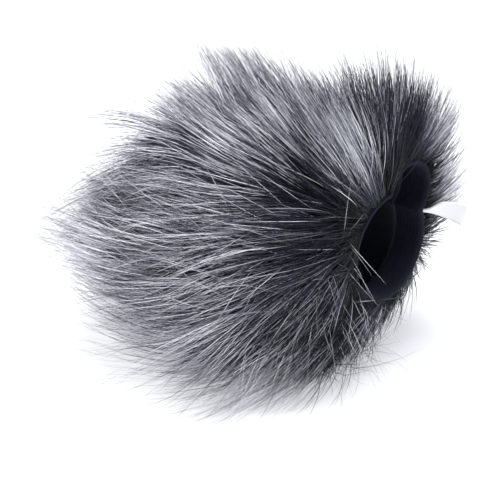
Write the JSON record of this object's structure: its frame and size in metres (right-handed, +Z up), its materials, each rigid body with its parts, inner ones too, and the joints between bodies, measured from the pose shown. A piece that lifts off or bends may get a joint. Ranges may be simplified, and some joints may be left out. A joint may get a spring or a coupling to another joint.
{
  "type": "furry windscreen",
  "caption": "Rounded faux-fur wind cover for a small recorder or microphone, with a pinched elastic mouth and a blank sewn label.",
  "frame": {"origin": "on the surface that the bag lies on, under the middle of the whole part", "axes": "+X out of the mouth, +Z up; the mouth's line of lobes leans 32 degrees from +Z towards +Y"},
  "size_m": [0.1283, 0.136, 0.114],
  "materials": {
    "faux_fur": "long silver and black pile",
    "backing": "black knitted fur backing",
    "lining": "matt black knit",
    "hem": "ribbed black knit, rolled edge",
    "elastic": "covered elastic",
    "thread": "polyester thread",
    "label": "blank white woven satin"
  },
  "bodies": {
    "bag": {"fur_panel_upper_far": "backing", "fur_panel_upper_near": "backing", "fur_panel_lower_near": "backing", "fur_panel_lower_far": "backing", "pile_upper_far": "faux_fur", "pile_upper_near": "faux_fur", "pile_lower_near": "faux_fur", "pile_lower_far": "faux_fur", "lining_upper_far": "lining", "lining_upper_near": "lining", "lining_lower_near": "lining", "lining_lower_far": "lining", "panel_seams": "thread", "lining_seams": "thread", "mouth_facing": "lining"},
    "lip_near": {"cuff_near": "hem", "elastic_near": "elastic", "binding_near": "hem", "hem_thread_near": "thread", "fringe_near": "faux_fur", "seam_tack_near": "thread"},
    "lip_far": {"cuff_far": "hem", "elastic_far": "elastic", "binding_far": "hem", "hem_thread_far": "thread", "fringe_far": "faux_fur", "seam_tack_far": "thread", "label_tail": "label", "label_stitches": "thread"},
    "label": {"label": "label"}
  },
  "joints": [
    {"name": "lip_far_stretch", "type": "slide", "parent": "bag", "child": "lip_far", "axis": [0, 0.848, -0.5299], "range_m": [0, 0.008], "stiffness_N_per_m": 800},
    {"name": "lip_near_stretch", "type": "slide", "parent": "bag", "child": "lip_near", "axis": [0, -0.848, 0.5299], "range_m": [0, 0.008], "stiffness_N_per_m": 800},
    {"name": "label_flip", "type": "hinge", "parent": "lip_far", "child": "label", "pos_m": [0.05242, 0.03776, 0.05757], "axis": [0.3622, -0.1807, 0.9144], "range_deg": [-60, 30], "stiffness_Nm_per_rad": 0.002}
  ],
  "couplings": [
    {"joint": "lip_near_stretch", "follows": "lip_far_stretch", "ratio": 1}
  ]
}
